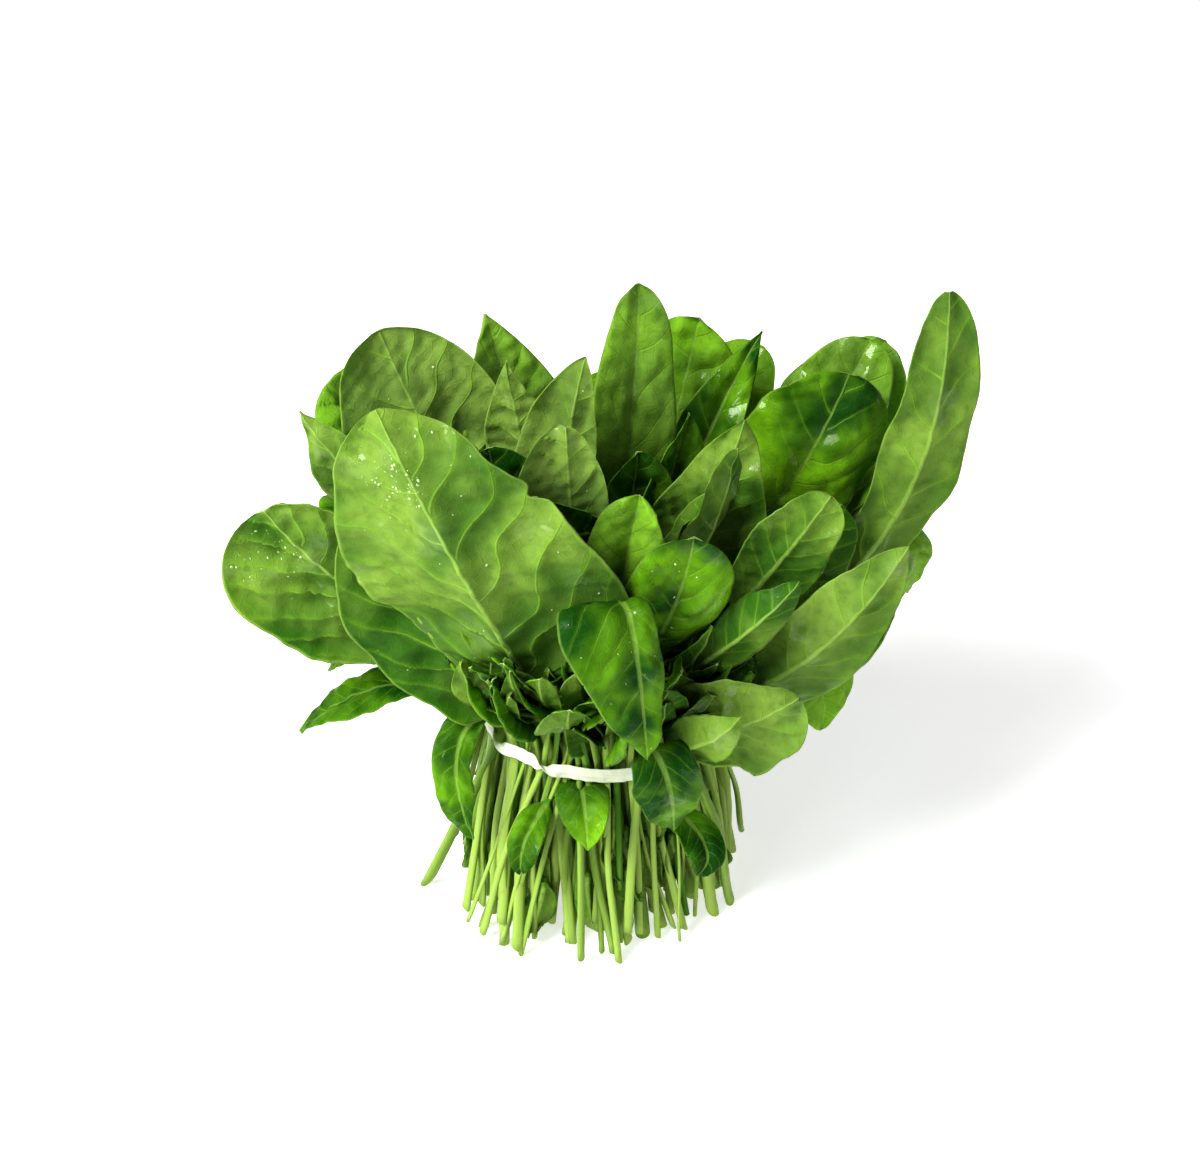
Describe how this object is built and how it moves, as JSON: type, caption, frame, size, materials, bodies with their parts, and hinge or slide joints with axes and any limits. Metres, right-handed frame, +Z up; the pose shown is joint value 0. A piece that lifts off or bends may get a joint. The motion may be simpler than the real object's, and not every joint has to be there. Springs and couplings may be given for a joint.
{
  "type": "spinach bunch",
  "caption": "Tied bunch of spinach standing on its cut stalks: broad oval and pointed leaves fan out above a flat paper twist tie",
  "frame": {"origin": "On the table under the middle of the bunch's bounding box", "axes": "+X to the right across the widest spread of leaves, -Y towards the front with the big leaf and the tie's twists, +Z up along the stalks"},
  "size_m": [0.2786, 0.2018, 0.2611],
  "materials": {
    "leaf": "satin, moist",
    "tie": "matte"
  },
  "bodies": {
    "root": {"front_left_leaf_1": "leaf", "front_left_leaf_2": "leaf", "front_left_leaf_3": "leaf", "left_leaf_1": "leaf", "left_leaf_2": "leaf", "left_leaf_3": "leaf", "left_leaf_4": "leaf", "left_leaf_5": "leaf", "back_left_leaf_1": "leaf", "centre_left_leaf_1": "leaf", "centre_left_leaf_2": "leaf", "centre_left_leaf_3": "leaf", "centre_left_leaf_4": "leaf", "centre_leaf_1": "leaf", "centre_leaf_2": "leaf", "centre_leaf_3": "leaf", "centre_leaf_4": "leaf", "centre_leaf_5": "leaf", "centre_leaf_6": "leaf", "centre_right_leaf_1": "leaf", "centre_right_leaf_2": "leaf", "front_leaf_1": "leaf", "front_leaf_2": "leaf", "front_leaf_3": "leaf", "front_right_leaf_1": "leaf", "front_right_leaf_2": "leaf", "front_right_leaf_3": "leaf", "front_right_leaf_4": "leaf", "front_right_leaf_5": "leaf", "right_leaf_1": "leaf", "right_leaf_2": "leaf", "right_leaf_3": "leaf", "right_leaf_4": "leaf", "right_leaf_5": "leaf", "right_leaf_6": "leaf", "right_leaf_7": "leaf", "right_leaf_8": "leaf", "low_leaf_1": "leaf", "low_leaf_2": "leaf", "low_leaf_3": "leaf", "low_leaf_4": "leaf", "low_leaf_5": "leaf", "back_leaf_1": "leaf", "back_leaf_2": "leaf", "back_leaf_3": "leaf", "back_leaf_4": "leaf", "back_leaf_5": "leaf", "back_leaf_6": "leaf", "back_leaf_7": "leaf", "back_leaf_8": "leaf", "back_leaf_9": "leaf", "back_leaf_10": "leaf", "back_leaf_11": "leaf", "back_leaf_12": "leaf", "back_low_leaf_1": "leaf", "back_low_leaf_2": "leaf", "back_low_leaf_3": "leaf", "back_low_leaf_4": "leaf", "twist_tie": "tie"}
  },
  "joints": []
}
